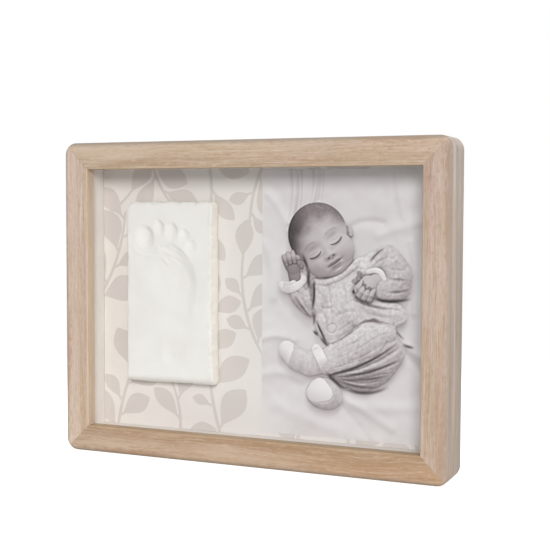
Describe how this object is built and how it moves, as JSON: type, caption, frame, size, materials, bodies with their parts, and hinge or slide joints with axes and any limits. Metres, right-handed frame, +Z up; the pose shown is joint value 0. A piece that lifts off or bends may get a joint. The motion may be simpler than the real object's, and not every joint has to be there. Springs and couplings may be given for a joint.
{
  "type": "baby print keepsake frame",
  "caption": "Wooden box frame with mitred rails, pane and spacers, showing a clay footprint cast on leaf-printed card beside a photo print; turn buttons, wall hanger and easel strut behind.",
  "frame": {"origin": "underside of the bottom rail, at the middle of its length and of the rail depth", "axes": "+X to the right seen from the front, +Y from the front to the back so that the window looks along -Y, +Z up"},
  "size_m": [0.2346, 0.03, 0.1826],
  "materials": {
    "rail_wood": "pale straight-grained wood, matt clear finish",
    "pane": "clear picture glass",
    "spacer_white": "white foam-core strip",
    "card_paper": "cream uncoated card with a taupe leaf print",
    "print_paper": "black-and-white photo print, semi-matt",
    "tape": "thin double-sided tape",
    "foam": "white closed-cell foam tape",
    "clay": "white air-dried clay, matt",
    "hardboard": "brown hardboard, smooth back",
    "zinc_steel": "zinc-plated pressed steel",
    "bright_steel": "nickel-plated steel"
  },
  "bodies": {
    "frame": {"rail_top": "rail_wood", "rail_bottom": "rail_wood", "rail_left": "rail_wood", "rail_right": "rail_wood", "v_nails": "bright_steel", "glazing": "pane", "spacer_top": "spacer_white", "spacer_bottom": "spacer_white", "spacer_left": "spacer_white", "spacer_right": "spacer_white", "printed_card": "card_paper", "photo_tape": "tape", "photo_print": "print_paper", "cast_tape": "foam", "clay_cast": "clay", "back_panel": "hardboard", "button_screws": "bright_steel", "sawtooth_hanger": "zinc_steel", "hanger_nails": "bright_steel", "hinge_leaf_panel": "zinc_steel", "hinge_pin": "bright_steel", "hinge_rivets_panel": "bright_steel"},
    "easel_strut": {"strut": "hardboard", "hinge_leaf_strut": "zinc_steel", "hinge_rivets_strut": "bright_steel"},
    "turn_button_tl": {"turn_button_tl": "zinc_steel"},
    "turn_button_tr": {"turn_button_tr": "zinc_steel"},
    "turn_button_bl": {"turn_button_bl": "zinc_steel"},
    "turn_button_br": {"turn_button_br": "zinc_steel"}
  },
  "joints": [
    {"name": "strut_hinge", "type": "hinge", "parent": "frame", "child": "easel_strut", "pos_m": [0, 0.01415, 0.15], "axis": [1, 0, 0], "range_deg": [0, 30]},
    {"name": "turn_button_tl_pivot", "type": "hinge", "parent": "frame", "child": "turn_button_tl", "pos_m": [-0.058, 0.013, 0.1778], "axis": [0, 1, 0], "continuous": true},
    {"name": "turn_button_tr_pivot", "type": "hinge", "parent": "frame", "child": "turn_button_tr", "pos_m": [0.058, 0.013, 0.1778], "axis": [0, 1, 0], "continuous": true},
    {"name": "turn_button_bl_pivot", "type": "hinge", "parent": "frame", "child": "turn_button_bl", "pos_m": [-0.078, 0.013, 0.0048], "axis": [0, 1, 0], "continuous": true},
    {"name": "turn_button_br_pivot", "type": "hinge", "parent": "frame", "child": "turn_button_br", "pos_m": [0.078, 0.013, 0.0048], "axis": [0, 1, 0], "continuous": true}
  ]
}
